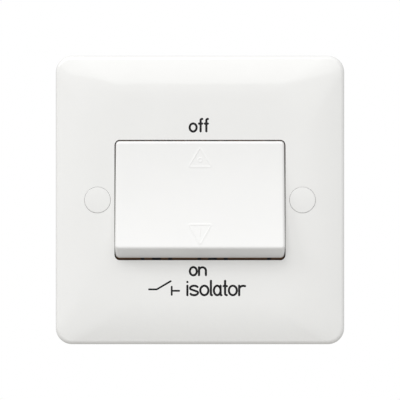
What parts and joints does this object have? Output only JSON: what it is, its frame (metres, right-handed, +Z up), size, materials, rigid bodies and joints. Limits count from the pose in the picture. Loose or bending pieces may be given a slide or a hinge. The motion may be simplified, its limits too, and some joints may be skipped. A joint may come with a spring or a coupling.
{
  "type": "fan isolator switch",
  "caption": "Square white wall plate with a wide dished rocker that works see-saw contacts in a rear base, with capped fixing holes and screw cable terminals.",
  "frame": {"origin": "centre of the wall plane, midway between the two fixing holes", "axes": "+X to the right as seen from the room, +Y into the wall, +Z up"},
  "size_m": [0.086, 0.0336, 0.086],
  "materials": {
    "white_moulding": "soft gloss",
    "white_rocker": "soft gloss",
    "dark_moulding": "satin",
    "nylon": "satin",
    "spring_steel": "drawn wire",
    "copper_strip": "rolled",
    "contact_silver": "satin",
    "brass": "machined",
    "plated_steel": "zinc plated"
  },
  "bodies": {
    "plate": {"front_plate": "white_moulding", "switch_base": "dark_moulding", "base_screws": "plated_steel", "terminal_screws": "plated_steel", "feed_terminal_1": "brass", "feed_terminal_2": "brass", "feed_terminal_3": "brass", "load_terminal_1": "brass", "load_terminal_2": "brass", "load_terminal_3": "brass", "fixed_contact_1": "contact_silver", "fixed_contact_2": "contact_silver", "fixed_contact_3": "contact_silver"},
    "rocker": {"rocker": "white_rocker", "plunger_spring_1": "spring_steel", "plunger_spring_2": "spring_steel", "plunger_spring_3": "spring_steel"},
    "plunger_1": {"plunger_1": "nylon"},
    "plunger_2": {"plunger_2": "nylon"},
    "plunger_3": {"plunger_3": "nylon"},
    "contact_arm_1": {"contact_arm_1": "copper_strip", "moving_contact_1": "contact_silver"},
    "contact_arm_2": {"contact_arm_2": "copper_strip", "moving_contact_2": "contact_silver"},
    "contact_arm_3": {"contact_arm_3": "copper_strip", "moving_contact_3": "contact_silver"},
    "cap_left": {"screw_cap_left": "white_moulding"},
    "cap_right": {"screw_cap_right": "white_moulding"}
  },
  "joints": [
    {"name": "rocker_tilt", "type": "hinge", "parent": "plate", "child": "rocker", "pos_m": [0, -0.0005, 0], "axis": [1, 0, 0], "range_deg": [0, 16]},
    {"name": "plunger_1_slide", "type": "slide", "parent": "rocker", "child": "plunger_1", "axis": [0, -0.9903, 0.1392], "range_m": [0, 0.001], "stiffness_N_per_m": 400, "springref_m": -0.003, "deforming": ["plunger_spring_1"]},
    {"name": "plunger_2_slide", "type": "slide", "parent": "rocker", "child": "plunger_2", "axis": [0, -0.9903, 0.1392], "range_m": [0, 0.001], "stiffness_N_per_m": 400, "springref_m": -0.003, "deforming": ["plunger_spring_2"]},
    {"name": "plunger_3_slide", "type": "slide", "parent": "rocker", "child": "plunger_3", "axis": [0, -0.9903, 0.1392], "range_m": [0, 0.001], "stiffness_N_per_m": 400, "springref_m": -0.003, "deforming": ["plunger_spring_3"]},
    {"name": "contact_arm_1_tilt", "type": "hinge", "parent": "plate", "child": "contact_arm_1", "pos_m": [-0.015, 0.01236, 0], "axis": [1, 0, 0], "range_deg": [-15, 0]},
    {"name": "contact_arm_2_tilt", "type": "hinge", "parent": "plate", "child": "contact_arm_2", "pos_m": [0, 0.01236, 0], "axis": [1, 0, 0], "range_deg": [-15, 0]},
    {"name": "contact_arm_3_tilt", "type": "hinge", "parent": "plate", "child": "contact_arm_3", "pos_m": [0.015, 0.01236, 0], "axis": [1, 0, 0], "range_deg": [-15, 0]},
    {"name": "cap_left_pull", "type": "slide", "parent": "plate", "child": "cap_left", "axis": [0, -1, 0], "range_m": [0, 0.008]},
    {"name": "cap_right_pull", "type": "slide", "parent": "plate", "child": "cap_right", "axis": [0, -1, 0], "range_m": [0, 0.008]}
  ],
  "couplings": [
    {"joint": "contact_arm_1_tilt", "follows": "rocker_tilt", "ratio": -0.9375},
    {"joint": "contact_arm_2_tilt", "follows": "rocker_tilt", "ratio": -0.9375},
    {"joint": "contact_arm_3_tilt", "follows": "rocker_tilt", "ratio": -0.9375}
  ]
}
